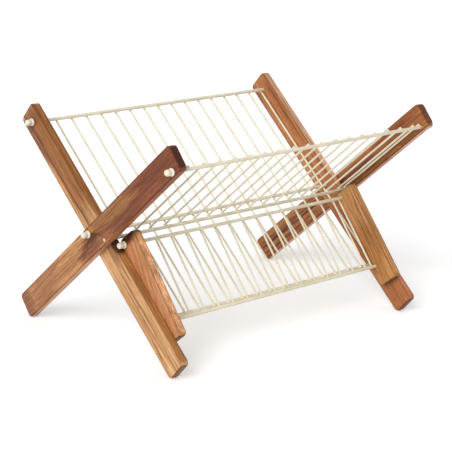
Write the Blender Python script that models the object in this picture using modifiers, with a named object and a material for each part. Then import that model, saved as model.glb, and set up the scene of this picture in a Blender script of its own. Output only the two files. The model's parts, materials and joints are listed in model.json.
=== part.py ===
"""Folding dish drainer: three wooden X-frames with rods and wires, hinged to each other.

The back frame stands on its feet at the front and leans back. The front frame crosses it,
turns on the pivot rod, and stands on its feet at the back. Its stop rod rests on the back
legs and holds the X open. The lower rack is hinged near the back frame's feet and leans on
the front edges of the back legs. Front is -Y, up is +Z, and the rods run along X.
"""
import math

import bmesh
import bpy
from mathutils import Matrix, Vector

MM = 0.001

# Clearances
SEAT_GAP = 0.3 * MM
CUT_OVERRUN = 2 * MM

# Rods, wires and the wires' spacing
ROD_RADIUS = 2.25 * MM
WIRE_RADIUS = 1.3 * MM
WIRE_PITCH = 24 * MM
WIRE_COUNT = 17
WIRE_TIP = 3 * MM
STOP_WIRE_TIP = 1.5 * MM
LOWER_WIRE_TIP = 3.2 * MM
WELD_SINK = 0.4 * MM
END_WIRE_MARGIN = 2.4 * MM
FRONT_END_WIRE_INSET = 2.2 * MM
LOWER_END_WIRE_INSET = 3.6 * MM

# Wooden legs: one thickness, and a narrower width for the lower rack
LEG_THICK = 11 * MM
LEG_WIDTH = 34 * MM
LEG_CORNER = 4.5 * MM
LEG_EASE = 1.2 * MM
LOWER_LEG_WIDTH = 33 * MM

# Back frame, measured along and across its legs from the pivot
BACK_ANGLE = math.radians(40)
BACK_LEG_UP = 194 * MM
BACK_LEG_DOWN = 205.5 * MM
BACK_TOP_ROD_UP = 175 * MM
BACK_BOTTOM_ROD_DOWN = 131 * MM
BLIND_HOLE_DEPTH = 7 * MM

# Front frame, measured along and across its legs from the pivot
FRONT_ANGLE = math.radians(42)
FRONT_LEG_UP = 202.5 * MM
FRONT_LEG_DROP = 8.3 * MM
FRONT_TOP_ROD_UP = 188.7 * MM
FRONT_ROD_EDGE = 5.4 * MM

# Lower rack, whose hinge rod turns in the back legs
HINGE_DOWN = 141.5 * MM
HINGE_AHEAD = 6 * MM
LOWER_RACK_CLEAR = 3 * MM
LOWER_ROD_INSET = 7.5 * MM
LOWER_LEG_ABOVE_ROD = 8.5 * MM
LOWER_LEG_BELOW_HINGE = 28 * MM

# Push-on end caps
CAP_FLANGE_RADIUS = 5 * MM
CAP_FLANGE_THICK = 2.6 * MM
CAP_DOME_RADIUS = 3.7 * MM
CAP_LENGTH = 11 * MM
CAP_BORE_DEPTH = 8 * MM
CAP_DOME_RISE = 2.6 * MM
CAP_EASE = 0.6 * MM

# Facets
ROD_SIDES = 20
WIRE_SIDES = 10
CAP_SIDES = 20
CORNER_STEPS = 5
EASE_STEPS = 3
CAP_DOME_STEPS = 4
MERGE_DISTANCE = 0.01 * MM

# Values that follow from the sizes above
HOLE_RADIUS = ROD_RADIUS + SEAT_GAP
WIRE_BEHIND_ROD = ROD_RADIUS + SEAT_GAP + WIRE_RADIUS
RACK_HALF = WIRE_PITCH * (WIRE_COUNT - 1) / 2
BACK_INNER = RACK_HALF + END_WIRE_MARGIN
BACK_OUTER = BACK_INNER + LEG_THICK
FRONT_INNER = BACK_OUTER + SEAT_GAP
FRONT_OUTER = FRONT_INNER + LEG_THICK
LOWER_OUTER = BACK_INNER - SEAT_GAP
LOWER_INNER = LOWER_OUTER - LEG_THICK
HALF_WIDTH = LEG_WIDTH / 2
FRONT_ROD_DROP = HALF_WIDTH - FRONT_ROD_EDGE
CROSSING = BACK_ANGLE + FRONT_ANGLE
ROD_IN_BLIND_HOLE = BACK_INNER + BLIND_HOLE_DEPTH - SEAT_GAP
BACK_BOTTOM_ROD_ACROSS = -2 * WIRE_BEHIND_ROD


def front_leg_down():
    """Length of the front legs below the pivot that brings their feet to the back legs' floor."""
    inset = HALF_WIDTH - LEG_CORNER
    back_reach = (BACK_LEG_DOWN - LEG_CORNER) * math.sin(BACK_ANGLE) + inset * math.cos(BACK_ANGLE)
    front_across = (FRONT_LEG_DROP + inset) * math.cos(FRONT_ANGLE)
    return (back_reach - front_across) / math.sin(FRONT_ANGLE) + LEG_CORNER


def stop_rod_up():
    """Distance up the front legs at which the stop rod rests on the back legs' front edge."""
    seat = HALF_WIDTH + SEAT_GAP + ROD_RADIUS
    drop = FRONT_LEG_DROP + FRONT_ROD_DROP
    return (seat + drop * math.cos(CROSSING)) / math.sin(CROSSING)


def lower_rack_reach():
    """Distances from the lower rack's hinge to its top rod, up and across the back legs.

    Its caps rest on the back legs' front edge, and its leg tops stay clear of the stop rod.
    """
    drop = FRONT_LEG_DROP + FRONT_ROD_DROP
    stop_down = stop_rod_up() * math.cos(CROSSING) + drop * math.sin(CROSSING)
    top_rod_down = stop_down + ROD_RADIUS + LOWER_RACK_CLEAR + LOWER_LEG_ABOVE_ROD
    seat = HALF_WIDTH + SEAT_GAP + CAP_FLANGE_RADIUS
    return HINGE_DOWN - top_rod_down, seat - HINGE_AHEAD


LOWER_RACK_DEPTH = math.hypot(*lower_rack_reach())


def lower_rack_lean():
    """Angle between the lower rack and the back legs."""
    up, across = lower_rack_reach()
    return math.atan2(across, up)


def clear_scene():
    for item in list(bpy.data.objects):
        bpy.data.objects.remove(item, do_unlink=True)


def new_collection(name):
    collection = bpy.data.collections.new(name)
    bpy.context.scene.collection.children.link(collection)
    return collection


def new_material(name, colour, roughness, metallic):
    material = bpy.data.materials.new(name)
    material.use_nodes = True
    shader = material.node_tree.nodes["Principled BSDF"]
    shader.inputs["Base Color"].default_value = (*colour, 1.0)
    shader.inputs["Roughness"].default_value = roughness
    shader.inputs["Metallic"].default_value = metallic
    return material


clear_scene()
DRAINER = new_collection("dish_drainer")
CUTTERS = new_collection("cutters")
WOOD = new_material("oiled_acacia", (0.43, 0.20, 0.09), 0.45, 0.0)
CREAM_STEEL = new_material("cream_coated_steel", (0.83, 0.78, 0.62), 0.4, 0.0)
CREAM_PLASTIC = new_material("cream_plastic", (0.85, 0.80, 0.66), 0.45, 0.0)


def add_frame(name, parent, forward, across, lean):
    """An empty on a frame's hinge line; a leg of that frame runs along its Y, front end at -Y."""
    empty = bpy.data.objects.new(name, None)
    DRAINER.objects.link(empty)
    empty.parent = parent
    empty.location = (0, -forward, across)
    empty.rotation_euler = (lean, 0, 0)
    return empty


def add_solid(name, mesh_data, frame, place, material, collection):
    """Turn a bmesh into an object of the frame, at (x, forward, across) from its hinge line."""
    mesh = bpy.data.meshes.new(name)
    mesh_data.to_mesh(mesh)
    mesh_data.free()
    mesh.materials.append(material)
    solid = bpy.data.objects.new(name, mesh)
    collection.objects.link(solid)
    solid.parent = frame
    x, forward, across = place
    solid.location = (x, -forward, across)
    if collection is CUTTERS:
        solid.hide_render = True
        solid.display_type = "WIRE"
    return solid


def cylinder(radius, length, axis, sides):
    """A closed cylinder about the origin, along X or Y."""
    shape = bmesh.new()
    bmesh.ops.create_cone(shape, cap_ends=True, segments=sides, radius1=radius, radius2=radius,
                          depth=length)
    turn_axis = "Y" if axis == "X" else "X"
    turn = Matrix.Rotation(math.pi / 2, 3, turn_axis)
    bmesh.ops.rotate(shape, verts=shape.verts, matrix=turn)
    return shape


def shade_round(solid):
    solid.data.shade_smooth()
    solid.data.set_sharp_from_angle(angle=math.radians(35))


def add_rod(name, frame, forward, across, half_length, collection=DRAINER):
    """A rod along X, centred on the object's middle."""
    shape = cylinder(ROD_RADIUS, 2 * half_length, "X", ROD_SIDES)
    rod = add_solid(name, shape, frame, (0, forward, across), CREAM_STEEL, collection)
    shade_round(rod)
    return rod


def add_wire(name, frame, x, start, end, across, collection=DRAINER):
    """A straight wire along the frame's legs, from start to end measured forwards."""
    shape = cylinder(WIRE_RADIUS, end - start, "Y", WIRE_SIDES)
    wire = add_solid(name, shape, frame, (x, (start + end) / 2, across), CREAM_STEEL, collection)
    shade_round(wire)
    return wire


def wire_places(count):
    """The X places of a row of wires, a pitch apart and centred."""
    first = -WIRE_PITCH * (count - 1) / 2
    return [first + WIRE_PITCH * index for index in range(count)]


def add_leg(name, frame, side, inner, start, end, across, width):
    """A flat wooden bar with rounded corners and eased edges, from start to end forwards."""
    shape = bmesh.new()
    bmesh.ops.create_cube(shape, size=1)
    bmesh.ops.scale(shape, vec=Vector((LEG_THICK, end - start, width)), verts=shape.verts)
    corners = [edge for edge in shape.edges
               if abs(edge.verts[0].co.x - edge.verts[1].co.x) > LEG_THICK / 2]
    bmesh.ops.bevel(shape, geom=corners, offset=LEG_CORNER, offset_type="OFFSET",
                    segments=CORNER_STEPS, profile=0.5, affect="EDGES")
    rims = [edge for edge in shape.edges
            if abs(edge.verts[0].co.x - edge.verts[1].co.x) < LEG_THICK / 2]
    bmesh.ops.bevel(shape, geom=rims, offset=LEG_EASE, offset_type="OFFSET",
                    segments=EASE_STEPS, profile=0.5, affect="EDGES")
    place = (side * (inner + LEG_THICK / 2), (start + end) / 2, across)
    leg = add_solid(name, shape, frame, place, WOOD, DRAINER)
    shade_round(leg)
    return leg


def drill(leg, frame, side, inner, forward, across, depth=None):
    """Drill a leg for a rod: right through, or from the inner face to the given depth."""
    near = inner - CUT_OVERRUN
    far = inner + LEG_THICK + CUT_OVERRUN if depth is None else inner + depth
    shape = cylinder(HOLE_RADIUS, far - near, "X", ROD_SIDES)
    name = "drill_" + leg.name + "_" + str(len(leg.modifiers) + 1)
    drill_bit = add_solid(name, shape, frame, (side * (near + far) / 2, forward, across), WOOD, CUTTERS)
    cut = leg.modifiers.new(name, "BOOLEAN")
    cut.operation = "DIFFERENCE"
    cut.solver = "EXACT"
    cut.object = drill_bit


def cap_profile():
    """The cap's half outline as (radius, height), from the tip down its outside and up its bore."""
    shoulder = CAP_LENGTH - CAP_DOME_RISE
    dome = []
    for step in range(CAP_DOME_STEPS + 1):
        turn = math.pi / 2 * step / CAP_DOME_STEPS
        dome.append((CAP_DOME_RADIUS * math.sin(turn), shoulder + CAP_DOME_RISE * math.cos(turn)))
    flange = [
        (CAP_DOME_RADIUS, CAP_FLANGE_THICK),
        (CAP_FLANGE_RADIUS - CAP_EASE, CAP_FLANGE_THICK),
        (CAP_FLANGE_RADIUS, CAP_FLANGE_THICK - CAP_EASE),
        (CAP_FLANGE_RADIUS, CAP_EASE),
        (CAP_FLANGE_RADIUS - CAP_EASE, 0),
    ]
    bore = [(HOLE_RADIUS, 0), (HOLE_RADIUS, CAP_BORE_DEPTH), (0, CAP_BORE_DEPTH)]
    return dome + flange + bore


def add_cap(name, frame, side, face, forward, across):
    """A turned push-on cap over a rod's end, its flange seated on a leg's outer face."""
    mesh = bpy.data.meshes.new(name)
    points = [(radius, 0, height) for radius, height in cap_profile()]
    mesh.from_pydata(points, [(index, index + 1) for index in range(len(points) - 1)], [])
    mesh.materials.append(CREAM_PLASTIC)
    cap = bpy.data.objects.new(name, mesh)
    DRAINER.objects.link(cap)
    cap.parent = frame
    cap.location = (side * (face + SEAT_GAP), -forward, across)
    cap.rotation_euler = (0, side * math.pi / 2, 0)
    turn = cap.modifiers.new("turned", "SCREW")
    turn.axis = "Z"
    turn.steps = CAP_SIDES
    turn.render_steps = CAP_SIDES
    turn.use_merge_vertices = True
    turn.merge_threshold = MERGE_DISTANCE
    return cap


SIDES = (("left", -1), ("right", 1))


def build_back_frame(frame):
    for word, side in SIDES:
        leg = add_leg("back_leg_" + word, frame, side, BACK_INNER, -BACK_LEG_UP, BACK_LEG_DOWN,
                      0, LEG_WIDTH)
        drill(leg, frame, side, BACK_INNER, -BACK_TOP_ROD_UP, 0)
        drill(leg, frame, side, BACK_INNER, 0, 0)
        drill(leg, frame, side, BACK_INNER, BACK_BOTTOM_ROD_DOWN, BACK_BOTTOM_ROD_ACROSS,
              BLIND_HOLE_DEPTH)
        drill(leg, frame, side, BACK_INNER, HINGE_DOWN, HINGE_AHEAD, BLIND_HOLE_DEPTH)
        add_cap("back_top_cap_" + word, frame, side, BACK_OUTER, -BACK_TOP_ROD_UP, 0)
        add_cap("pivot_cap_" + word, frame, side, FRONT_OUTER, 0, 0)
    add_rod("back_top_rod", frame, -BACK_TOP_ROD_UP, 0, BACK_OUTER + CAP_BORE_DEPTH)
    add_rod("pivot_rod", frame, 0, 0, FRONT_OUTER + CAP_BORE_DEPTH)
    add_rod("back_bottom_rod", frame, BACK_BOTTOM_ROD_DOWN, BACK_BOTTOM_ROD_ACROSS,
            ROD_IN_BLIND_HOLE)
    top = -BACK_TOP_ROD_UP - WIRE_TIP
    bottom = BACK_BOTTOM_ROD_DOWN + WIRE_TIP
    for number, x in enumerate(wire_places(WIRE_COUNT), 1):
        add_wire("back_wire_%02d" % number, frame, x, top, bottom, -WIRE_BEHIND_ROD)


def build_front_frame(frame):
    rods_across = -FRONT_LEG_DROP - FRONT_ROD_DROP
    stop = stop_rod_up()
    for word, side in SIDES:
        leg = add_leg("front_leg_" + word, frame, side, FRONT_INNER, -front_leg_down(),
                      FRONT_LEG_UP, -FRONT_LEG_DROP, LEG_WIDTH)
        drill(leg, frame, side, FRONT_INNER, FRONT_TOP_ROD_UP, rods_across)
        drill(leg, frame, side, FRONT_INNER, 0, 0)
        drill(leg, frame, side, FRONT_INNER, stop, rods_across)
        add_cap("front_top_cap_" + word, frame, side, FRONT_OUTER, FRONT_TOP_ROD_UP, rods_across)
    add_rod("front_top_rod", frame, FRONT_TOP_ROD_UP, rods_across, FRONT_OUTER + CAP_BORE_DEPTH)
    add_rod("stop_rod", frame, stop, rods_across, FRONT_OUTER)
    end_place = FRONT_INNER - FRONT_END_WIRE_INSET
    places = [-end_place, *wire_places(WIRE_COUNT), end_place]
    for number, x in enumerate(places, 1):
        add_wire("front_wire_%02d" % number, frame, x, stop - STOP_WIRE_TIP,
                 FRONT_TOP_ROD_UP + WIRE_TIP, rods_across + WIRE_BEHIND_ROD)


def weld(base, other):
    union = base.modifiers.new("weld_" + other.name, "BOOLEAN")
    union.operation = "UNION"
    union.solver = "EXACT"
    union.object = other


def build_lower_rack(frame):
    leg_across = LOWER_LEG_WIDTH / 2 - LOWER_ROD_INSET
    top = -LOWER_RACK_DEPTH - LOWER_LEG_ABOVE_ROD
    for word, side in SIDES:
        leg = add_leg("lower_leg_" + word, frame, side, LOWER_INNER, top, LOWER_LEG_BELOW_HINGE,
                      leg_across, LOWER_LEG_WIDTH)
        drill(leg, frame, side, LOWER_INNER, -LOWER_RACK_DEPTH, 0)
        drill(leg, frame, side, LOWER_INNER, 0, 0)
        add_cap("lower_cap_" + word, frame, side, LOWER_OUTER, -LOWER_RACK_DEPTH, 0)
    grille = add_rod("lower_grille", frame, -LOWER_RACK_DEPTH, 0, LOWER_OUTER + CAP_BORE_DEPTH)
    weld(grille, add_rod("hinge_rod", frame, 0, 0, ROD_IN_BLIND_HOLE, CUTTERS))
    end_place = LOWER_INNER - LOWER_END_WIRE_INSET
    places = [-end_place, *wire_places(WIRE_COUNT - 2), end_place]
    across = WELD_SINK - ROD_RADIUS - WIRE_RADIUS
    for number, x in enumerate(places, 1):
        weld(grille, add_wire("lower_wire_%02d" % number, frame, x,
                              -LOWER_RACK_DEPTH - LOWER_WIRE_TIP, LOWER_WIRE_TIP, across, CUTTERS))


def stand_on_floor(root):
    """Move the whole drainer so that the middle of its box's base is at the origin."""
    bpy.context.view_layer.update()
    depsgraph = bpy.context.evaluated_depsgraph_get()
    corners = []
    for item in DRAINER.objects:
        if item.type == "MESH":
            shape = item.evaluated_get(depsgraph)
            corners += [item.matrix_world @ vertex.co for vertex in shape.data.vertices]
    middle_y = (min(c.y for c in corners) + max(c.y for c in corners)) / 2
    root.location -= Vector((0, middle_y, min(c.z for c in corners)))
    bpy.context.view_layer.update()


drainer = add_frame("dish_drainer", None, 0, 0, 0)
back_frame = add_frame("back_frame", drainer, 0, 0, BACK_ANGLE)
front_frame = add_frame("front_frame", drainer, 0, 0, -FRONT_ANGLE)
lower_rack = add_frame("lower_rack", back_frame, HINGE_DOWN, HINGE_AHEAD, lower_rack_lean())
build_back_frame(back_frame)
build_front_frame(front_frame)
build_lower_rack(lower_rack)
stand_on_floor(drainer)
for hinge in (front_frame, lower_rack):
    print(hinge.name, "turns about", [round(value / MM, 3) for value in hinge.matrix_world.translation])
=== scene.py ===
# %% [markdown]
# A folding dish drainer stands on a white surface: six oiled acacia legs, cream coated rods
# and wires between them, and small cream caps on the rods' ends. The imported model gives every
# piece's place and size. This lesson dresses it piece by piece and leaves each one in its
# place, so that the joints still turn where they should.

# %% Load the frame
import json
import math

import bpy
from mathutils import Matrix, Vector


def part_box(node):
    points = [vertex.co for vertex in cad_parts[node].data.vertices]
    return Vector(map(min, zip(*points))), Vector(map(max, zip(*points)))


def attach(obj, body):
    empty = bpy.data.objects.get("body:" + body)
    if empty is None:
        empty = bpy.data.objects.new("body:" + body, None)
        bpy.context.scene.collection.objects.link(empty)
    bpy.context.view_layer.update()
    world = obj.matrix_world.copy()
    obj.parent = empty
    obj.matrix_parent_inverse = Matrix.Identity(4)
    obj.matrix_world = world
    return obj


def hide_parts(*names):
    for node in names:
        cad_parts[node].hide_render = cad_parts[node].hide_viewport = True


MM = 0.001
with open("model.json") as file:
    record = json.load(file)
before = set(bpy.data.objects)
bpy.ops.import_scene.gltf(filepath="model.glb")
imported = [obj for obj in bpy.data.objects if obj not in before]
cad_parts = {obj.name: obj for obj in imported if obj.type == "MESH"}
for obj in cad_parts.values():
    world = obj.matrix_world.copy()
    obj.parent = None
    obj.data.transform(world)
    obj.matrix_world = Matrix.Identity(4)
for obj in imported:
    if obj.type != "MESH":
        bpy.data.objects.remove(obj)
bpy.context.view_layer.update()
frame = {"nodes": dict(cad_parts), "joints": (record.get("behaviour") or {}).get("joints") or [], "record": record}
nodes = frame["nodes"]
joints = {joint["name"]: joint for joint in frame["joints"]}

# %% [markdown]
# The drainer is three racks, and each runs along a straight line when it is seen from its end.
# Their angles could be typed, but the rods' middles already give them, so they are measured. A
# rack is kept as one small record under its body's name: a point on its hinge line, and its
# lean about the X axis.


# %% Find how each rack leans
def middle(node):
    low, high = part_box(node)
    return (low + high) / 2


def lean_between(front, back):
    """The turn about X that lays the Y axis along the line from front to back."""
    step = back - front
    return math.atan2(step.z, step.y)


pivot = Vector(joints["fold"]["pos_m"])
hinge = Vector(joints["lower_rack_swing"]["pos_m"])
racks = {
    "back_frame": (pivot, lean_between(pivot, middle("back_top_rod"))),
    "front_frame": (pivot, lean_between(middle("front_top_rod"), middle("stop_rod"))),
    "lower_rack": (hinge, lean_between(hinge, middle("lower_cap_left"))),
}
for rack, (_, lean) in racks.items():
    print(rack, "leans", round(math.degrees(lean), 1), "degrees")

# %% [markdown]
# The camera stands at the front left, a little above the drainer, with a long lens and a slight
# roll, as the photographer had it. It could be aimed by eye, but its place and turns were
# fitted to the rods' ends and the legs' edges.

# %% Place the camera
CAMERA_PLACE = Vector((-1264.5 * MM, -1378.5 * MM, 673.0 * MM))
CAMERA_YAW = -0.7443
CAMERA_PITCH = -0.2883
CAMERA_ROLL = 0.0404
CAMERA_LENS = 118.4
SENSOR_WIDTH = 36.0

camera_data = bpy.data.cameras.new("camera")
camera_data.lens = CAMERA_LENS
camera_data.sensor_width = SENSOR_WIDTH
camera = bpy.data.objects.new("camera", camera_data)
bpy.context.scene.collection.objects.link(camera)
heading = Matrix.Rotation(CAMERA_YAW, 4, "Z")
aim = heading @ Matrix.Rotation(math.pi / 2 + CAMERA_PITCH, 4, "X")
roll = Matrix.Rotation(CAMERA_ROLL, 4, "Z")
camera.matrix_world = Matrix.Translation(CAMERA_PLACE) @ aim @ roll
bpy.context.scene.camera = camera
print("The camera is", round(CAMERA_PLACE.length, 2), "m from the drainer")

# %% [markdown]
# An operator works on whatever is selected, and a new piece comes selected all over. So
# everything is deselected before each new piece. Edges and faces are then picked in code, by a
# test on their place, where a hand would use the mouse. They are picked in object mode, because
# selections made there carry into edit mode.


# %% Helpers for picking and shaping
SMOOTH_ANGLE = 40


def start_clean():
    bpy.ops.object.select_all(action="DESELECT")


def select_elements(obj, kind, test):
    """Select the edges or faces of obj for which test says yes."""
    mesh = obj.data
    for group in (mesh.vertices, mesh.edges, mesh.polygons):
        group.foreach_set("select", [False] * len(group))
    for element in {"EDGE": mesh.edges, "FACE": mesh.polygons}[kind]:
        element.select = test(mesh, element)
    bpy.context.tool_settings.mesh_select_mode = (False, kind == "EDGE", kind == "FACE")


def edge_run(mesh, edge, axis):
    """How far an edge runs along an axis: 0 is X, 1 is Y and 2 is Z."""
    start, end = (mesh.vertices[index].co for index in edge.vertices)
    return abs(start[axis] - end[axis])


def bevel_chosen(width, segments):
    """Round the chosen edges in edit mode, and come back to object mode."""
    bpy.ops.object.mode_set(mode="EDIT")
    bpy.ops.mesh.bevel(offset=width, segments=segments, affect="EDGES")
    bpy.ops.object.mode_set(mode="OBJECT")


def apply_place(obj):
    """Move the chosen piece's place, turn and size into its mesh."""
    bpy.ops.object.transform_apply(location=True, rotation=True, scale=True)
    return obj


def finish_piece(obj, name, body, angle=SMOOTH_ANGLE):
    """Name a piece, smooth its round faces, and let it ride on its body."""
    obj.name = name
    bpy.ops.object.shade_smooth_by_angle(angle=math.radians(angle))
    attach(obj, body)
    return obj


print("Faces that meet at less than", SMOOTH_ANGLE, "degrees will look round")

# %% [markdown]
# Seven steel rods of one thickness hold the drainer together, and five of them are nodes of
# their own. The lower rack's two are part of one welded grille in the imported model. They could
# be cut out of its mesh, but it is simpler to find their ends again: the upper one reaches into
# its caps, and the hinge rod ends inside the back legs, as deep as the back bottom rod.

# %% Measure the rods
CAP_GRIP = 8 * MM
pivot_low, pivot_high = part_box("pivot_rod")
ROD_RADIUS = (pivot_high.z - pivot_low.z) / 2


def rod_box(centre, half_length):
    half = Vector((half_length, ROD_RADIUS, ROD_RADIUS))
    return centre - half, centre + half


lower_cap = middle("lower_cap_left")
rod_ends = {
    "lower_top_rod": rod_box(Vector((0, lower_cap.y, lower_cap.z)),
                             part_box("lower_leg_right")[1].x + CAP_GRIP),
    "hinge_rod": rod_box(hinge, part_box("back_bottom_rod")[1].x),
}


def rod_span(rod):
    """A rod's box: its own node's, or the one found for a rod of the lower rack."""
    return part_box(rod) if rod in nodes else rod_ends[rod]


for rod, (low, high) in rod_ends.items():
    print("The", rod.replace("_", " "), "is", round((high.x - low.x) / MM, 1), "mm long")

# %% [markdown]
# A leg is easiest to shape while it lies flat, as on a bench. So its node is measured with its
# rack's lean taken away, the piece is made at that size, and the finished piece is leaned back
# about the rack's hinge line. Turning the object would do too, but the turn goes into the mesh,
# so that the wood's pattern and the joints can count on an unturned object.


# %% Lay a rack flat, and lean it back
def flat_point(rack, point):
    place, lean = racks[rack]
    return Matrix.Rotation(-lean, 3, "X") @ (point - place)


def flat_box(node, rack):
    """The box of a node while its rack is turned back to lie flat about its own hinge."""
    points = [flat_point(rack, vertex.co) for vertex in nodes[node].data.vertices]
    low = Vector(min(point[axis] for point in points) for axis in range(3))
    high = Vector(max(point[axis] for point in points) for axis in range(3))
    return low, high


def lean_back(obj, rack):
    """Turn a piece that was made flat into its rack's lean, and bring it to its hinge."""
    place, lean = racks[rack]
    obj.data.transform(Matrix.Translation(place) @ Matrix.Rotation(lean, 4, "X"))


leg_low, leg_high = flat_box("back_leg_left", "back_frame")
print("A back leg is", [round(side / MM, 1) for side in leg_high - leg_low], "mm when it is flat")

# %% [markdown]
# Each leg is a planed wooden bar. Its end corners are rounded with a fair radius, a little more
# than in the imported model, and every other edge is eased, so that it is pleasant to hold. A
# bevel modifier rounds all the edges by one width, and here there are two. So a cube of the
# leg's size is bevelled twice in edit mode: first the four short corner edges, and then the
# rims of both broad faces.

# %% Plane a wooden bar
CORNER_RADIUS = 6.0 * MM
CORNER_SEGMENTS = 8
EASE_RADIUS = 1.4 * MM
EASE_SEGMENTS = 4


def make_bar(low, high):
    """A cube of the leg's size, its four end corners rounded and then all its rims eased."""
    start_clean()
    bpy.ops.mesh.primitive_cube_add(size=1, location=(low + high) / 2)
    bar = bpy.context.object
    bar.scale = high - low
    apply_place(bar)
    half_thick = (high.x - low.x) / 2
    select_elements(bar, "EDGE", lambda mesh, edge: edge_run(mesh, edge, 0) > half_thick)
    bevel_chosen(CORNER_RADIUS, CORNER_SEGMENTS)
    select_elements(bar, "EDGE", lambda mesh, edge: edge_run(mesh, edge, 0) < half_thick)
    bevel_chosen(EASE_RADIUS, EASE_SEGMENTS)
    return bar


print("Corners are rounded by", round(CORNER_RADIUS / MM, 1), "mm and rims by",
      round(EASE_RADIUS / MM, 1), "mm")

# %% [markdown]
# The rods run through round holes in the legs, and some end inside the wood. The holes could be
# left out, since the rods hide most of them, but the rim of a hole and the thin dark line round
# a rod are seen up close. A boolean cut with a cylinder does what a drill does, and it leaves a
# blind hole where a rod ends inside. The hole is a little wider than the rod, so that the two
# surfaces don't lie in each other.

# %% Drill a rod's hole
DRILL_PLAY = 0.12 * MM
DRILL_OVERRUN = 1 * MM
DRILL_SIDES = 32


def drill(bar, rack, rod):
    """Cut a rod's hole where the rod meets this flat bar."""
    low, high = rod_span(rod)
    start_clean()
    bpy.ops.mesh.primitive_cylinder_add(
        vertices=DRILL_SIDES, radius=ROD_RADIUS + DRILL_PLAY,
        depth=high.x - low.x + DRILL_OVERRUN,
        location=flat_point(rack, (low + high) / 2), rotation=(0, math.pi / 2, 0))
    drill_bit = bpy.context.object
    cut = bar.modifiers.new("drilled", "BOOLEAN")
    cut.object = drill_bit
    cut.solver = "EXACT"
    bpy.context.view_layer.objects.active = bar
    bpy.ops.object.modifier_apply(modifier=cut.name)
    bpy.data.objects.remove(drill_bit)


print("Holes are", round(2 * (ROD_RADIUS + DRILL_PLAY) / MM, 2), "mm wide for rods of",
      round(2 * ROD_RADIUS / MM, 2), "mm")

# %% [markdown]
# Three pairs of legs are cut from the same bar, each pair to its own length. A left and a right
# leg could be mirrored copies, but mirroring turns a mesh inside out, and each leg is quick to
# make from its own node. One table says which rack a pair belongs to and which rods it holds.

# %% Make the six legs
LEGS = {
    "back_leg": ("back_frame", ["back_top_rod", "pivot_rod", "back_bottom_rod", "hinge_rod"]),
    "front_leg": ("front_frame", ["front_top_rod", "pivot_rod", "stop_rod"]),
    "lower_leg": ("lower_rack", ["lower_top_rod", "hinge_rod"]),
}
legs = {}
longest = 0
for kind, (rack, held_rods) in LEGS.items():
    for side in ("left", "right"):
        node = kind + "_" + side
        low, high = flat_box(node, rack)
        longest = max(longest, high.y - low.y)
        bar = make_bar(low, high)
        for rod in held_rods:
            drill(bar, rack, rod)
        lean_back(bar, rack)
        start_clean()
        bar.select_set(True)
        bpy.context.view_layer.objects.active = bar
        legs[node] = (finish_piece(bar, "wood_" + node, rack), rack)
        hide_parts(node)
print(len(legs), "legs, the longest", round(longest / MM, 1), "mm")

# %% [markdown]
# Rods and wires are coated steel, cut square with a small burr-free round at each end. Both
# could be curves with a round bevel, but a cylinder whose two end rims are bevelled has better
# ends and fewer faces. One function makes them all.

# %% Cut a rod or a wire
END_ROUND_SHARE = 0.35
END_SEGMENTS = 3


def make_round_bar(radius, length, sides, along):
    """A cylinder about the origin with rounded rims, along X or Y."""
    start_clean()
    turn = (0, math.pi / 2, 0) if along == "X" else (math.pi / 2, 0, 0)
    bpy.ops.mesh.primitive_cylinder_add(vertices=sides, radius=radius, depth=length, rotation=turn)
    bar = apply_place(bpy.context.object)
    axis = "XY".index(along)
    select_elements(bar, "EDGE", lambda mesh, edge: edge_run(mesh, edge, axis) < length / 2)
    bevel_chosen(radius * END_ROUND_SHARE, END_SEGMENTS)
    return bar


print("A rod's end is rounded by", round(ROD_RADIUS * END_ROUND_SHARE / MM, 2), "mm")

# %% [markdown]
# The rods lie across the drainer and carry everything else. Each is made at the origin and then
# moved inside its own mesh, which keeps its object at the origin. The lower rack's rods together
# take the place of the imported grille.

# %% Lay the rods
ROD_SIDES = 32
ROD_BODIES = {
    "back_top_rod": "back_frame", "pivot_rod": "back_frame", "back_bottom_rod": "back_frame",
    "front_top_rod": "front_frame", "stop_rod": "front_frame",
    "lower_top_rod": "lower_rack", "hinge_rod": "lower_rack",
}
steel = []
for rod, body in ROD_BODIES.items():
    low, high = rod_span(rod)
    piece = make_round_bar(ROD_RADIUS, high.x - low.x, ROD_SIDES, "X")
    piece.data.transform(Matrix.Translation((low + high) / 2))
    steel.append(finish_piece(piece, "coated_" + rod, body))
    if rod in nodes:
        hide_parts(rod)
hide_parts("lower_grille")
print(len(steel), "rods of", round(2 * ROD_RADIUS / MM, 2), "mm")

# %% [markdown]
# The plates stand between the wires, which run up and down each rack on one side of its rods.
# Each wire takes its place from its node, and is then sunk a little into the rods, as a weld
# does. It could be left just touching them, but a hairline gap would show. The front frame's
# wires are trimmed a little above the top rod, where the photo shows shorter tips.

# %% Lay the two frames' wires
WIRE_SIDES = 16
WIRE_RADIUS = 1.3 * MM
WELD_OVERLAP = 0.35 * MM
TIP_TRIM = 1.3 * MM
FRAME_WIRES = {"back_wire": ("back_frame", 1, 0), "front_wire": ("front_frame", -1, TIP_TRIM)}


def add_wire(name, rack, x, low_y, high_y, z):
    wire = make_round_bar(WIRE_RADIUS, high_y - low_y, WIRE_SIDES, "Y")
    wire.data.transform(Matrix.Translation((x, (low_y + high_y) / 2, z)))
    lean_back(wire, rack)
    steel.append(finish_piece(wire, name, rack))
    return wire


wire_rows = []
for kind, (rack, toward_rod, trim) in FRAME_WIRES.items():
    for node in sorted(name for name in nodes if name.startswith(kind)):
        low, high = flat_box(node, rack)
        centre = (low + high) / 2
        z = centre.z + toward_rod * WELD_OVERLAP
        wire = add_wire("coated_" + node, rack, centre.x, low.y + trim, high.y, z)
        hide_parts(node)
        wire_rows.append((rack, centre.x, z))
print(len(wire_rows), "wires of", round(2 * WIRE_RADIUS / MM, 2), "mm in the two frames")

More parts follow.
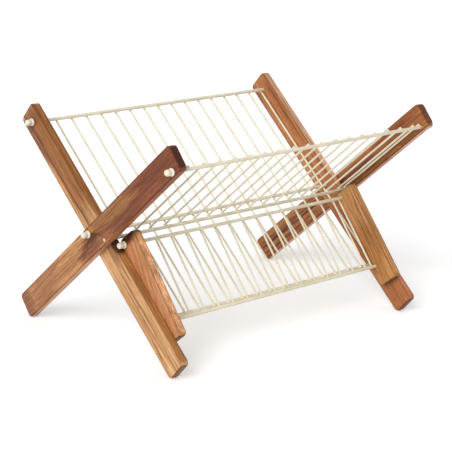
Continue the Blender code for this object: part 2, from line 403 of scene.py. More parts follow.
# %% [markdown]
# The lower rack is narrower than the back frame. Its wires could be spaced evenly on their own,
# but a plate may reach from one grille into the other. So they stand in line with the back
# frame's wires, and only the outer two move in beside the lower legs.

# %% Lay the lower rack's wires
LOWER_WIRE_INSET = 3.6 * MM
LOWER_TIP_TRIM = 1.6 * MM
grille_low, grille_high = flat_box("lower_grille", "lower_rack")
outer_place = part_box("lower_leg_right")[0].x - LOWER_WIRE_INSET
back_places = sorted(x for rack, x, _ in wire_rows if rack == "back_frame")
lower_places = [-outer_place, *back_places[1:-1], outer_place]
lower_z = grille_low.z + WIRE_RADIUS
for number, x in enumerate(lower_places, 1):
    add_wire("coated_lower_wire_%02d" % number, "lower_rack", x,
             grille_low.y + LOWER_TIP_TRIM, grille_high.y, lower_z)
    wire_rows.append(("lower_rack", x, lower_z))
print(len(wire_rows), "wires in all, and", len(lower_places), "of them in the lower rack")

# %% [markdown]
# Every wire is welded to the two or three rods that it crosses, and seen close the coating
# fills the corner between them with a small fillet. The tubes could be joined with booleans and
# bevelled there, but that is fragile on thin round bars. A small flattened bead, sunk into both
# at each crossing, gives the same look.

# %% Weld the crossings
BEAD_RADIUS = 1.95 * MM
BEAD_FLATTEN = (1.0, 1.15, 0.8)
BEAD_SEGMENTS = 12
BEAD_RINGS = 8
CROSSED_RODS = {
    "back_frame": ["back_top_rod", "pivot_rod", "back_bottom_rod"],
    "front_frame": ["front_top_rod", "stop_rod"],
    "lower_rack": ["lower_top_rod", "hinge_rod"],
}


def find_crossings(rack):
    """Where a rack's wires cross its rods while it lies flat, halfway between the two."""
    crossings = []
    for wire_rack, x, wire_z in wire_rows:
        if wire_rack == rack:
            for rod in CROSSED_RODS[rack]:
                low, high = rod_span(rod)
                rod_point = flat_point(rack, (low + high) / 2)
                crossings.append((x, rod_point.y, (rod_point.z + wire_z) / 2))
    return crossings


def make_beads(rack, name, crossings):
    """One small flattened bead at every crossing, all joined as one piece."""
    beads = []
    for place in crossings:
        start_clean()
        bpy.ops.mesh.primitive_uv_sphere_add(
            segments=BEAD_SEGMENTS, ring_count=BEAD_RINGS, radius=BEAD_RADIUS,
            location=place, scale=BEAD_FLATTEN)
        beads.append(apply_place(bpy.context.object))
    for bead in beads:
        bead.select_set(True)
    bpy.ops.object.join()
    piece = bpy.context.object
    lean_back(piece, rack)
    steel.append(finish_piece(piece, name, rack))


for rack in CROSSED_RODS:
    crossings = find_crossings(rack)
    make_beads(rack, "welds_" + rack, crossings)
    print(rack, "has", len(crossings), "welds")

# %% [markdown]
# The caps are small cream plastic mouldings pushed over the rods' ends: a rounded flange against
# the wood, a slight waist, and a round bulb outside it. A profile could be spun round, but a cap
# is quicker to shape as by hand, from a disc: its top face is inset for the waist, and then
# drawn out and resized step by step. The flange is a little slimmer and the bulb a little
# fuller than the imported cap's.

# %% The sizes of a cap
CAP_SIDES = 32
CAP_FLANGE_RADIUS = 4.8 * MM
CAP_FLANGE_THICK = 2.8 * MM
CAP_WAIST_RADIUS = 3.5 * MM
CAP_BULB_RADIUS = 3.95 * MM
CAP_LENGTH = 11 * MM
CAP_RIM_ROUND = 1.1 * MM
CAP_RIM_SEGMENTS = 5
CAP_DOME_RISE = 3.1 * MM
CAP_DOME_RINGS = 6
CAP_DOME_FLAT = 0.5
CAP_SHOULDER = 0.985
CAP_STRAIGHT = CAP_LENGTH - CAP_FLANGE_THICK - CAP_DOME_RISE
CAP_STEPS = [(0.16, 1.0), (0.24, CAP_BULB_RADIUS / CAP_WAIST_RADIUS * CAP_SHOULDER),
             (0.22, 1 / CAP_SHOULDER), (0.38, 1.0)]
print("A cap is", round(CAP_LENGTH / MM, 1), "mm long and its bulb",
      round(2 * CAP_BULB_RADIUS / MM, 1), "mm thick")

# %% [markdown]
# The steps of the waist and bulb are typed as a list, each a share of the straight part's
# length and how much it widens. The dome could be a half sphere set on top, but rings that
# follow a quarter circle grow out of the bulb without a seam.

# %% Mould a cap
LEVEL = 0.9
TOUCHING = 0.01 * MM


def select_top_face(cap, height):
    """Select the one face that looks up at this height and has the axis in its middle."""
    select_elements(cap, "FACE", lambda mesh, face: face.normal.z > LEVEL
                    and abs(face.center.z - height) < TOUCHING and abs(face.center.x) < MM)


def draw_out(rise, widen):
    """Extrude the chosen face outwards and resize it about the cap's axis."""
    bpy.ops.mesh.extrude_region_move(TRANSFORM_OT_translate={"value": (0, 0, rise)})
    bpy.ops.transform.resize(value=(widen, widen, 1), center_override=(0, 0, 0))


def draw_dome():
    """Close the bulb with rings along a quarter circle, and leave a tiny flat at its tip."""
    radius, height = 1.0, 0.0
    for ring in range(1, CAP_DOME_RINGS + 1):
        turn = math.pi / 2 * ring / (CAP_DOME_RINGS + CAP_DOME_FLAT)
        rise = math.sin(turn) * CAP_DOME_RISE - height
        shrink = math.cos(turn) / radius
        draw_out(rise, shrink)
        radius *= shrink
        height += rise


def make_cap():
    """A cap that stands on the origin and points up."""
    start_clean()
    bpy.ops.mesh.primitive_cylinder_add(
        vertices=CAP_SIDES, radius=CAP_FLANGE_RADIUS, depth=CAP_FLANGE_THICK,
        location=(0, 0, CAP_FLANGE_THICK / 2))
    cap = apply_place(bpy.context.object)
    half_thick = CAP_FLANGE_THICK / 2
    select_elements(cap, "EDGE", lambda mesh, edge: edge_run(mesh, edge, 2) < half_thick)
    bevel_chosen(CAP_RIM_ROUND, CAP_RIM_SEGMENTS)
    select_top_face(cap, CAP_FLANGE_THICK)
    bpy.ops.object.mode_set(mode="EDIT")
    bpy.ops.mesh.inset(thickness=CAP_FLANGE_RADIUS - CAP_RIM_ROUND - CAP_WAIST_RADIUS)
    for share, widen in CAP_STEPS:
        draw_out(CAP_STRAIGHT * share, widen)
    draw_dome()
    bpy.ops.object.mode_set(mode="OBJECT")
    return cap


print("A cap is drawn out in", len(CAP_STEPS), "steps and a dome of", CAP_DOME_RINGS, "rings")

# %% [markdown]
# Eight caps sit on the legs' outer faces, four on each side. They could be mirrored from left
# to right, but a cap is the same all round, so one mould serves both sides: it is turned to
# point left or right and seated where its node begins.

# %% Push the caps on
CAP_SMOOTH_ANGLE = 50
bodies = frame["record"]["behaviour"]["bodies"]
caps = []
for node in sorted(name for name in nodes if "_cap_" in name):
    body = next(name for name, members in bodies.items() if node in members)
    low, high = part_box(node)
    outward = -1 if node.endswith("left") else 1
    seat_x = high.x if outward < 0 else low.x
    cap = make_cap()
    place = Matrix.Translation((seat_x, (low.y + high.y) / 2, (low.z + high.z) / 2))
    cap.data.transform(place @ Matrix.Rotation(outward * math.pi / 2, 4, "Y"))
    caps.append(finish_piece(cap, "moulded_" + node, body, CAP_SMOOTH_ANGLE))
    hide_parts(node)
print(len(caps), "caps")

# %% [markdown]
# Materials are built from nodes, and a sum in Math nodes is slow to write and to read. So a
# small class wraps a socket, and Python's own arithmetic on it adds the Math nodes. It has only
# the signs that are used below, and all but division also turned round, so that 1 - mask works.


# %% A socket that takes arithmetic
class Value:
    """A socket of a node tree, on which sums are written as in Python."""

    def __init__(self, tree, socket):
        self.tree = tree
        self.socket = socket

    def math(self, operation, *values):
        return add_node(self.tree, "ShaderNodeMath", {"operation": operation}, list(values))

    def __add__(self, other):
        return self.math("ADD", self, other)

    def __sub__(self, other):
        return self.math("SUBTRACT", self, other)

    def __rsub__(self, other):
        return self.math("SUBTRACT", other, self)

    def __mul__(self, other):
        return self.math("MULTIPLY", self, other)

    def __truediv__(self, other):
        return self.math("DIVIDE", self, other)

    __radd__ = __add__
    __rmul__ = __mul__

    def size(self):
        """The number without its sign."""
        return self.math("ABSOLUTE", self)

    def between(self, low, high):
        """0 below low, 1 above high, and smooth between them."""
        return add_node(self.tree, "ShaderNodeMapRange", {"interpolation_type": "SMOOTHSTEP"},
                        {"Value": self, "From Min": low, "From Max": high})

    def beside(self, output):
        """Another output of the node that this one comes from."""
        return Value(self.tree, self.socket.node.outputs[output])


print("Sums on sockets can use + - * / and size, between and beside")

# %% [markdown]
# Every kind of node comes from one function. It sets the node's own settings first, because
# some of them change which sockets there are, and then fills its sockets with plain values or
# with links to other nodes.


# %% Add a node
def set_stops(ramp, stops):
    """Give a colour ramp its stops, each a place from 0 to 1 and a colour."""
    while len(ramp.elements) < len(stops):
        ramp.elements.new(1)
    for element, (place, shade) in zip(ramp.elements, stops):
        element.position = place
        element.color = (*shade, 1)


def fill_socket(tree, socket, value):
    """Link a socket to another node's value, or set it to a plain one."""
    if isinstance(value, Value):
        tree.links.new(value.socket, socket)
    else:
        socket.default_value = value


def add_node(tree, kind, settings, values, output=0):
    """Add a node: its settings first, then its sockets' values or links. Gives one output."""
    node = tree.nodes.new(kind)
    for key, setting in settings.items():
        if key == "stops":
            set_stops(node.color_ramp, setting)
        else:
            setattr(node, key, setting)
    pairs = values.items() if isinstance(values, dict) else enumerate(values)
    for key, value in pairs:
        fill_socket(tree, node.inputs[key], value)
    return Value(tree, node.outputs[output])


print("Every node from here on comes from add_node")

# %% [markdown]
# Every material here is one Principled shader, whose sockets are given by name. Colours are
# typed as a screen shows them, 0 to 255, because that is how a colour is usually picked. Shaders
# count in linear light, so each is turned into that. A Mix node keeps a set of sockets for each
# kind of data under the same names, so its colour sockets are found by their numbers.

# %% Helpers for materials
MIX_AMOUNT, MIX_UNDER, MIX_OVER, MIX_COLOUR = 0, 6, 7, 2


def new_material(name):
    material = bpy.data.materials.new(name)
    material.use_nodes = True
    return material, material.node_tree, material.node_tree.nodes["Principled BSDF"]


def wire_up(tree, shader, **values):
    """Set or link a shader's sockets by their names, with _ for each space."""
    for key, value in values.items():
        fill_socket(tree, shader.inputs[key.replace("_", " ")], value)


def colour(red, green, blue):
    """A screen's colour, 0 to 255, in the linear light that shaders use."""
    def linear(channel):
        share = channel / 255
        return share / 12.92 if share <= 0.04045 else ((share + 0.055) / 1.055) ** 2.4
    return linear(red), linear(green), linear(blue)


def blend(tree, amount, under, over, kind="MIX"):
    """Lay a colour over another one by an amount; either colour may be typed or a node's."""
    def plain(shade):
        return (*colour(*shade), 1) if isinstance(shade, tuple) else shade
    return add_node(tree, "ShaderNodeMix", {"data_type": "RGBA", "blend_type": kind},
                    {MIX_AMOUNT: amount, MIX_UNDER: plain(under), MIX_OVER: plain(over)},
                    output=MIX_COLOUR)


def wear(pieces, material):
    """Give pieces one material in place of any that they have."""
    for piece in pieces:
        piece.data.materials.clear()
        piece.data.materials.append(material)


print("Half grey on a screen is", round(colour(128, 128, 128)[0], 3), "in linear light")

# %% [markdown]
# Acacia is lively wood: gold to red brown, with soft broad bands, a few dark streaks, fine
# fibres and short open pores, all running along the leg. A picture wrapped round the leg would
# show a seam and wouldn't match at the ends. So the pattern is solid and is worked out in the
# leg's own millimetres: x through its thickness, y along it, and z across it. Noise that is
# stretched along y carries on round every edge. Its coarsest grain makes the figure sway, the
# next two are the year rings, and the finer ones are fibres, pores and flecks.

# %% A board's own coordinates
GRAINS = {
    "sway": (0.035, 0.009, 2.0, 0.0), "broad": (0.10, 0.009, 3.0, 5.0),
    "bands": (0.36, 0.012, 3.0, 9.0), "fibre": (0.95, 0.022, 4.0, 13.0),
    "pores": (3.4, 0.13, 2.0, 17.0), "flecks": (1.1, 0.09, 2.0, 25.0),
}
NOISE_MIDDLE = 0.5
SEED_ALONG, SEED_OVER = 1.7, 0.6
SWAY_REACH = 14
GRAIN_ROUGHNESS = 0.55
STRETCH_FADE = 16
PATCH_SWAY_ALONG, PATCH_SWAY_ACROSS = 0.04, 0.06
PATCH_RAGGED_ALONG, PATCH_RAGGED_ACROSS = 1.3, 0.7
PATCH_CORE = 0.25
ARRIS_START, ARRIS_FACE_START, ARRIS_FULL = 2.2, 2.0, 0.6


class Board:
    """The nodes of one leg's wood, in millimetres from the leg's middle."""

    def __init__(self, tree, rack, low, high, slant, seed):
        self.tree = tree
        self.seed = seed
        self.half = (high - low) / 2 / MM
        place, lean = racks[rack]
        origin = place + Matrix.Rotation(lean, 3, "X") @ ((low + high) / 2)
        where = add_node(tree, "ShaderNodeTexCoord", {}, {}, output="Object")
        local = add_node(tree, "ShaderNodeMapping", {"vector_type": "TEXTURE"},
                         {"Vector": where, "Location": origin, "Rotation": (lean, 0, 0),
                          "Scale": (MM, MM, MM)})
        self.sawn = add_node(tree, "ShaderNodeMapping", {},
                             {"Vector": local, "Rotation": (-slant, 0, 0)})
        self.x = add_node(tree, "ShaderNodeSeparateXYZ", {}, {"Vector": local})
        self.y, self.z = self.x.beside("Y"), self.x.beside("Z")
        self.sway = (self.grain("sway") - NOISE_MIDDLE) * SWAY_REACH
        self.broad = self.grain("broad")
        self.bands = self.grain("bands")
        self.ragged = self.bands - NOISE_MIDDLE
        self.fibre = self.grain("fibre")
        self.pores = self.grain("pores")
        self.flecks = self.grain("flecks")

    def grain(self, name):
        """Noise with features of 1/across mm over the board and 1/along mm down it."""
        across, along, detail, shift = GRAINS[name]
        place = (self.seed + shift, self.seed * SEED_ALONG, self.seed * SEED_OVER)
        scaled = add_node(self.tree, "ShaderNodeMapping", {},
                          {"Vector": self.sawn, "Scale": (across, along, across),
                           "Location": place})
        return add_node(self.tree, "ShaderNodeTexNoise", {},
                        {"Vector": scaled, "Scale": 1.0, "Detail": detail,
                         "Roughness": GRAIN_ROUGHNESS})

    def stretch(self, first, last):
        """1 between two places along the board, fading out at both."""
        rise = self.y.between(first - STRETCH_FADE, first + STRETCH_FADE)
        return rise * (1 - self.y.between(last - STRETCH_FADE, last + STRETCH_FADE))

    def streak(self, drift, across, slope, half_width, first, last):
        """A line along the board at a place across it, wandering with the drift."""
        away = self.z + drift - self.y * slope - across
        return (1 - away.size().between(0, half_width)) * self.stretch(first, last)

    def patch(self, drift, ragged, along, across, reach_along, reach_across):
        """An oval patch whose border runs out along the grain in ragged fingers."""
        down = ((self.y - along) / reach_along
                + drift * PATCH_SWAY_ALONG + ragged * PATCH_RAGGED_ALONG)
        over = ((self.z - across) / reach_across
                + drift * PATCH_SWAY_ACROSS + ragged * PATCH_RAGGED_ACROSS)
        return 1 - (down * down + over * over).between(PATCH_CORE, 1.0)

    def arris(self):
        """1 on the eased corners between a face and an edge."""
        def near(place, half, start):
            return place.size().between(half - start, half - ARRIS_FULL)
        rim = near(self.z, self.half.z, ARRIS_START)
        end = near(self.y, self.half.y, ARRIS_START)
        return rim.math("MAXIMUM", rim, end) * near(self.x, self.half.x, ARRIS_FACE_START)


print("A board's figure wanders by up to", SWAY_REACH / 2, "mm to either side")

# %% [markdown]
# Each leg was cut from another board. One pattern could serve all six with another seed, but
# then the red board in front and the golden one behind would look alike. So what sets a board
# apart is written as a short list in its own millimetres, tuned until it looked like the photo:
#
# - tones: four colours, from the darkest line to the lightest.
# - patches: place along, place across, reach along, reach across, colour and strength.
# - streaks: place across, slope, half width, first and last place along, and strength.
# - the dark marks that follow the streaks: as patches, but without a colour, always dark, and
#   smoother at their border. They are painted shade where the caps and the crossing legs shade
#   the wood, and the one beside the near front leg's pivot cap is partly a dark knot as well.
# - slant: how far the board was sawn off the run of its grain, in radians.
# - ends and veins: how dark the end grain and the fine dark veins are.
# - front and back: the colours of the two narrow edges, each with one colour toward the low end of
#   y and one toward the high end. The pale pinks on the front legs' under-edges are painted light
#   bounced from the floor, and the pale pink toward the top of the far back leg's front edge is
#   painted light too.

# %% The six boards
DARK = (66, 26, 10)
BOARDS = {
    "back_leg_left": {
        "tones": [(134, 82, 42), (194, 142, 94), (222, 174, 122), (242, 204, 154)],
        # The first patch is painted shade that darkens the upper part of the leg.
        "patches": [(112, 0, 104, 60, (148, 94, 50), 0.95), (85, -13, 60, 4, (222, 164, 104), 0.7),
                    (-22, 12, 34, 12, (112, 66, 34), 0.6), (186, 0, 16, 40, (110, 58, 30), 0.6)],
        "streaks": [(4, 0.008, 2.4, -190, -40, 0.5), (-5, -0.01, 2.5, 20, 185, 1.0),
                    (-11, 0.0, 1.4, 100, 185, 0.5), (9, -0.012, 1.8, 30, 120, 0.5),
                    (-8, 0.004, 1.4, -180, -90, 0.3)],
        # The dark mark by the lower cap is painted shade.
        "painted_shade_and_knot": [(-27, 19, 15, 9, 0.95)], "slant": 0.01, "ends": 0.7, "veins": 0.3,
        "front": [(162, 106, 54), (154, 98, 44)], "back": [(180, 120, 76)] * 2},
    "back_leg_right": {
        "tones": [(112, 54, 24), (172, 108, 62), (194, 132, 82), (218, 160, 106)],
        "patches": [(130, 9, 80, 8, (158, 96, 54), 0.7), (130, -4, 70, 14, (186, 124, 80), 0.4),
                    (-185, 0, 40, 40, (168, 104, 62), 0.7)],
        "streaks": [(10, 0.0, 2.4, 70, 180, 0.6), (-4, 0.01, 1.4, 40, 150, 0.4)],
        "painted_shade_and_knot": [], "slant": 0.0, "ends": 0.7, "veins": 0.4,
        # The pale pink toward the top of the front edge is painted light.
        "front": [(180, 114, 76), (214, 166, 130)], "back": [(160, 98, 58)] * 2},
    "front_leg_left": {
        "tones": [(92, 46, 26), (136, 82, 50), (160, 104, 66), (190, 136, 90)],
        "patches": [(-130, 0, 105, 60, (122, 66, 43), 0.92), (-58, 6, 64, 10, (154, 104, 60), 0.8),
                    (74, 0, 58, 60, (192, 138, 90), 0.9), (150, 0, 60, 60, (172, 118, 76), 0.9),
                    (192, 0, 22, 40, (116, 64, 42), 0.6), (20, -10, 28, 10, (120, 70, 46), 0.75),
                    (34, 9, 28, 7, (198, 144, 92), 0.6), (0, 10, 6, 6, (190, 132, 52), 0.85)],
        "streaks": [(2.7, 0.6, 2.1, -14, 6, 0.95), (9.4, -1.4, 2.8, -8, 4, 0.8),
                    (6, -0.5, 2.2, 6, 36, 0.75), (2, -0.2, 1.5, 10, 70, 0.55),
                    (4, 0.1, 1.4, -60, -10, 0.6), (10, 0.0, 1.5, 60, 180, 0.5),
                    (-6, 0.01, 1.4, 60, 170, 0.45), (2, -0.015, 1.6, 70, 150, 0.4)],
        # The dark mark beside the pivot cap is partly a dark knot and partly painted shade.
        "painted_shade_and_knot": [(3, 1, 15, 7, 0.5)], "slant": 0.02, "ends": 0.95, "veins": 0.4,
        # The pale pink toward one end of the back edge, the leg's under-edge, is painted floor bounce light.
        "front": [(150, 98, 62)] * 2, "back": [(160, 98, 64), (222, 168, 130)]},
    "front_leg_right": {
        "tones": [(98, 48, 26), (150, 92, 52), (172, 110, 64), (200, 138, 88)],
        "patches": [(-70, -11, 70, 6, (150, 96, 48), 0.6), (-130, 8, 60, 9, (132, 74, 42), 0.6),
                    # The patch that starts the next line is painted shade toward the crossing.
                    (-36, 2, 60, 8, (112, 62, 34), 0.6), (100, 4, 90, 14, (168, 110, 66), 0.5)],
        "streaks": [(-1, 0.01, 5.0, -130, 0, 0.8), (-3, 0.03, 2.4, 20, 180, 1.0),
                    (6, -0.02, 2.2, 40, 185, 0.95), (-9, 0.0, 1.8, 90, 190, 0.7),
                    (1, 0.05, 1.6, 80, 190, 0.6)],
        # The dark mark at the crossing is painted shade.
        "painted_shade_and_knot": [(4, 0, 30, 14, 0.6)], "slant": 0.0, "ends": 0.7, "veins": 0.9,
        # The pale pink back edge, the leg's under-edge, is painted light bounced from the floor.
        "front": [(146, 90, 56)] * 2, "back": [(212, 160, 134)] * 2},
    "lower_leg_left": {
        "tones": [(174, 108, 66), (197, 136, 90), (211, 154, 108), (228, 176, 132)],
        "patches": [(40, -6, 60, 10, (196, 126, 84), 0.5)],
        "streaks": [(-4, 0.25, 3.4, -60, 60, 0.2), (5, 0.25, 3.0, -60, 60, 0.28),
                    (13, 0.23, 2.6, -60, 30, 0.2), (-12, 0.24, 2.6, -10, 70, 0.18)],
        # The dark mark at the top end is a painted shadow of the front leg.
        "painted_shade_and_knot": [(76, 2, 20, 24, 0.95)], "slant": 0.25, "ends": 0.8, "veins": 0.12,
        "front": [(222, 164, 116)] * 2, "back": [(120, 70, 38)] * 2},
    "lower_leg_right": {
        "tones": [(128, 78, 34), (172, 116, 64), (190, 136, 80), (214, 162, 106)],
        "patches": [(20, 9, 60, 7, (148, 98, 52), 0.6), (66, 0, 66, 40, (204, 150, 100), 0.6)],
        "streaks": [(8, 0.01, 1.8, -50, 60, 0.6), (0, 0.02, 1.5, -40, 60, 0.4)],
        "painted_shade_and_knot": [], "slant": 0.0, "ends": 0.7, "veins": 0.25,
        "front": [(184, 130, 80)] * 2, "back": [(150, 96, 52)] * 2},
}
print(sum(len(figure["streaks"]) for figure in BOARDS.values()), "dark streaks on",
      len(BOARDS), "boards")

# %% [markdown]
# The faces come first. Bands and fibres together make one number from dark to light, and a
# colour ramp turns it into the board's tones. A patch could simply be painted over, but then it
# would look flat, so its colour is multiplied by that same number and keeps the grain. Streaks
# and veins are stronger where the fibres are light, which breaks them up as in real wood.

# %% The figure of the faces
FACE_SHARES = [(0.34, 0.66, 0.24), (0.36, 0.64, 0.34), (0.32, 0.68, 0.42)]
TONE_PLACES = [0.0, 0.35, 0.65, 1.0]
PATCH_CONTRAST = 0.84
PATCH_LIFT = 0.62
STREAK_WANDER = 7
STREAK_LEAST = 0.4
VEIN_WANDER = 0.35
VEIN_WIDTH = 0.022


def weigh_grains(board, shares):
    """Broad, bands and fibre, each sharpened between a low and a high level, by their shares."""
    broad, bands, fibre = (grain.between(low, high) * share for grain, (low, high, share)
                           in zip((board.broad, board.bands, board.fibre), shares))
    return broad + bands + fibre


def lay_patches(board, wood, tone, patches):
    light = tone * PATCH_CONTRAST + PATCH_LIFT
    for along, across, reach_along, reach_across, tint, amount in patches:
        mask = board.patch(board.sway, board.ragged, along, across, reach_along, reach_across)
        grained = blend(board.tree, 1.0, tint, light, "MULTIPLY")
        wood = blend(board.tree, mask * amount, wood, grained)
    return wood


def draw_streaks(board, wood, streaks, veins):
    for across, slope, half_width, first, last, amount in streaks:
        drift = board.sway + board.ragged * STREAK_WANDER
        mask = board.streak(drift, across, slope, half_width, first, last)
        wood = blend(board.tree, mask * ((STREAK_LEAST + board.fibre) * amount), wood, DARK)
    ring = (board.broad + board.ragged * VEIN_WANDER - NOISE_MIDDLE).size()
    vein = 1 - ring.between(0, VEIN_WIDTH)
    return blend(board.tree, vein * (board.fibre * veins), wood, DARK)


def face_figure(board, figure):
    """The wood's colour on the two broad faces."""
    tone = weigh_grains(board, FACE_SHARES)
    stops = [(place, colour(*shade)) for place, shade in zip(TONE_PLACES, figure["tones"])]
    wood = add_node(board.tree, "ShaderNodeValToRGB", {"stops": stops}, {"Fac": tone})
    wood = lay_patches(board, wood, tone, figure["patches"])
    return draw_streaks(board, wood, figure["streaks"], figure["veins"])


print("A patch is from", PATCH_LIFT, "to", round(PATCH_LIFT + PATCH_CONTRAST, 2),
      "times as light as its colour")

# %% [markdown]
# Then come the places that differ from the faces: the narrow edges, the ends, the painted shade
# and the eased corners. End grain drinks more oil, so it is darker, and each arris is darkened a
# little too. The painted shade stands for the shade that the caps and the crossing legs cast on
# the wood. They could be materials of their own, but a mask on the board's millimetres lets one
# run into the other without a seam.

# %% The edges, the ends and the painted shade
EDGE_SHARES = [(0.38, 0.62, 0.34), (0.38, 0.62, 0.5), (0.34, 0.66, 0.5)]
EDGE_LIFT = 0.43
EDGE_REACH, EDGE_SOFT = 0.5, 0.1
EDGE_STRENGTH = 0.85
EDGE_TURN = 60
END_REACH, END_SOFT = 1.4, 0.2
PAINTED_SHADE_SWAY = 0.15
PAINTED_SHADE_RAGGED = 0.4
ARRIS_STRENGTH = 0.5


def tint_edges(board, wood, front, back):
    light = weigh_grains(board, EDGE_SHARES) + EDGE_LIFT
    start, end = board.half.z - EDGE_REACH, board.half.z - EDGE_SOFT
    # Some edge colours are painted light, as on the front legs' pale under-edges.
    for mask, tints in ((board.z.between(start, end), front),
                        ((0 - board.z).between(start, end), back)):
        tint = blend(board.tree, board.y.between(-EDGE_TURN, EDGE_TURN), *tints)
        grained = blend(board.tree, 1.0, tint, light, "MULTIPLY")
        wood = blend(board.tree, mask * EDGE_STRENGTH, wood, grained)
    return wood


def darken(board, wood, ends, painted_shade_and_knot):
    end_grain = board.y.size().between(board.half.y - END_REACH, board.half.y - END_SOFT)
    wood = blend(board.tree, end_grain * ends, wood, DARK)
    # Painted shade where the caps and crossing legs shade the wood, one of it partly a dark knot.
    for along, across, reach_along, reach_across, amount in painted_shade_and_knot:
        mask = board.patch(board.sway * PAINTED_SHADE_SWAY, board.ragged * PAINTED_SHADE_RAGGED,
                           along, across, reach_along, reach_across)
        wood = blend(board.tree, mask * amount, wood, DARK)
    return blend(board.tree, board.arris() * ARRIS_STRENGTH, wood, DARK)


print("An edge changes from its first colour to its second over", 2 * EDGE_TURN, "mm")

# %% [markdown]
# Last come the fleck and the pores, which lie over all of it. The pores are also pressed into
# the surface by a bump, far too fine to model, and the light fibres are a little smoother than
# the dark ones. Oil leaves a soft sheen and no hard gloss.

# %% Oiled acacia
FLECK_LEVELS, FLECK_TINT, FLECK_STRENGTH = (0.36, 0.54), (150, 104, 78), 0.3
PORE_LEVELS, PORE_TINT, PORE_STRENGTH = (0.27, 0.40), (120, 72, 44), 0.4
PIT_LEVELS = (0.26, 0.42)
PIT_SHARE, FIBRE_SHARE = 0.5, 0.5
BUMP_STRENGTH = 0.22
BUMP_DEPTH = 0.2 * MM
DULLEST, DULL_RANGE = 0.56, 0.18
OIL_SHEEN = 0.2
FIRST_SEED = 3
SEED_STEP = 3.7


def acacia(name, rack, seed):
    """Oiled acacia for one leg, from its list in BOARDS."""
    figure = BOARDS[name]
    material, tree, shader = new_material("acacia_" + name)
    board = Board(tree, rack, *flat_box(name, rack), figure["slant"], seed)
    wood = face_figure(board, figure)
    wood = tint_edges(board, wood, figure["front"], figure["back"])
    wood = darken(board, wood, figure["ends"], figure["painted_shade_and_knot"])
    fleck = (1 - board.flecks.between(*FLECK_LEVELS)) * FLECK_STRENGTH
    pore = (1 - board.pores.between(*PORE_LEVELS)) * PORE_STRENGTH
    wood = blend(tree, fleck, wood, FLECK_TINT, "MULTIPLY")
    wood = blend(tree, pore, wood, PORE_TINT, "MULTIPLY")
    height = board.fibre * FIBRE_SHARE + board.pores.between(*PIT_LEVELS) * PIT_SHARE
    bump = add_node(tree, "ShaderNodeBump", {},
                    {"Height": height, "Strength": BUMP_STRENGTH, "Distance": BUMP_DEPTH})
    wire_up(tree, shader, Base_Color=wood, Roughness=DULLEST - board.fibre * DULL_RANGE,
            Normal=bump, Specular_IOR_Level=OIL_SHEEN)
    return material


for seed, (node, (leg, rack)) in enumerate(legs.items(), FIRST_SEED):
    wear([leg], acacia(node, rack, seed * SEED_STEP))
print(len(legs), "boards of acacia")

# %% [markdown]
# The steel wears a cream powder coat, and the caps are cream plastic. One plain colour would
# look like a toy, because a real coat isn't perfectly even: it is a little thicker and yellower
# in places, and its surface has a very fine orange peel that breaks up the highlight. One
# recipe serves both, and the plastic is lighter, duller and smoother.

# %% Powder coat and cap plastic
CLOUD_SCALE, CLOUD_DETAIL = 60.0, 3.0
CLOUD_LEVELS = (0.35, 0.65)
CLOUD_DULLING = 0.1
PEEL_SCALE, PEEL_DETAIL = 1400.0, 2.0
PEEL_DEPTH = 0.1 * MM


def cream(name, light, deep, roughness, peel):
    material, tree, shader = new_material(name)
    where = add_node(tree, "ShaderNodeTexCoord", {}, {}, output="Object")
    cloud = add_node(tree, "ShaderNodeTexNoise", {},
                     {"Vector": where, "Scale": CLOUD_SCALE, "Detail": CLOUD_DETAIL})
    grain = add_node(tree, "ShaderNodeTexNoise", {},
                     {"Vector": where, "Scale": PEEL_SCALE, "Detail": PEEL_DETAIL})
    bump = add_node(tree, "ShaderNodeBump", {},
                    {"Height": grain, "Strength": peel, "Distance": PEEL_DEPTH})
    wire_up(tree, shader, Base_Color=blend(tree, cloud.between(*CLOUD_LEVELS), light, deep),
            Roughness=roughness + cloud * CLOUD_DULLING, Normal=bump)
    return material


wear(steel, cream("cream_powder_coat", light=(233, 225, 201), deep=(224, 213, 184),
                  roughness=0.33, peel=0.25))
wear(caps, cream("cream_cap_plastic", light=(236, 229, 211), deep=(228, 219, 197),
                 roughness=0.42, peel=0.12))
print(len(steel), "steel pieces and", len(caps), "caps are cream")

# %% [markdown]
# The drainer stands on a white floor. A photographer would pour light on the floor until it
# turns white, but that would bleach the drainer too. So the floor glows a little for what the
# camera sees straight, in a gloss or through glass, and doesn't cast that glow as light. The
# drainer's shadow stays.

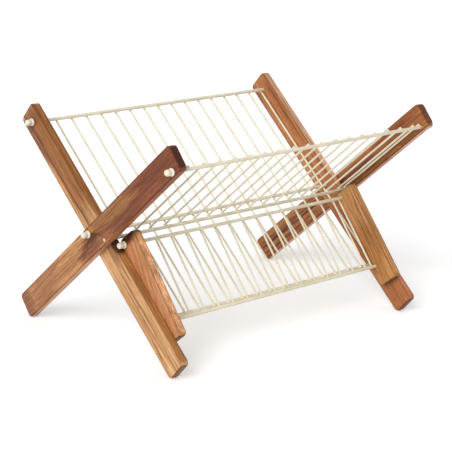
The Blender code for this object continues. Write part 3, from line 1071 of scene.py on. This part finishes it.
# %% Lay the floor
FLOOR_SIZE = 30.0
FLOOR_WHITE = (0.93, 0.93, 0.93, 1)
FLOOR_ROUGHNESS = 0.9
FLOOR_LIFT = 0.26


def seen_straight(tree):
    """1 for what the camera sees, also in a gloss or through glass, and 0 for its light."""
    ray = add_node(tree, "ShaderNodeLightPath", {}, {}, output="Is Camera Ray")
    seen = ray + ray.beside("Is Glossy Ray") + ray.beside("Is Transmission Ray")
    return seen.math("MINIMUM", seen, 1.0)


start_clean()
bpy.ops.mesh.primitive_plane_add(size=FLOOR_SIZE)
floor = bpy.context.object
floor.name = "floor"
floor_material, floor_tree, floor_shader = new_material("white_floor")
wire_up(floor_tree, floor_shader, Base_Color=FLOOR_WHITE, Roughness=FLOOR_ROUGHNESS,
        Emission_Color=seen_straight(floor_tree) * FLOOR_LIFT, Emission_Strength=1.0)
floor.data.materials.append(floor_material)
print("The floor is", FLOOR_SIZE, "m wide")

# %% [markdown]
# The light is plain and soft: an even white sky, and one broad sun from the upper left that
# models the legs' faces and leaves a faint shadow. Area lamps would do too, but they fade with
# distance, and a sun is even over the whole rack. The sky looks fully white where it is seen,
# and lights the drainer with less.

# %% Light the drainer
SKY_STRENGTH = 0.55
SUN_STRENGTH = 1.9
SUN_SPREAD = math.radians(36)
SUN_FROM = Vector((-1.0, -0.4, 0.75))

world = bpy.data.worlds.new("studio")
world.use_nodes = True
sky_tree = world.node_tree
sky_strength = seen_straight(sky_tree) * (1 - SKY_STRENGTH) + SKY_STRENGTH
wire_up(sky_tree, sky_tree.nodes["Background"], Color=(1, 1, 1, 1), Strength=sky_strength)
bpy.context.scene.world = world

sun_data = bpy.data.lights.new("sun", "SUN")
sun_data.energy = SUN_STRENGTH
sun_data.angle = SUN_SPREAD
sun = bpy.data.objects.new("sun", sun_data)
bpy.context.scene.collection.objects.link(sun)
sun.rotation_euler = SUN_FROM.to_track_quat("Z", "Y").to_euler()
bpy.context.scene.view_settings.view_transform = "Standard"
print("The sun is", round(math.degrees(SUN_FROM.angle(Vector((0, 0, 1))))),
      "degrees from overhead")

# %% [markdown]
# Last, the script says that the scene is dressed.

# %% Finish
print("The scene is dressed")
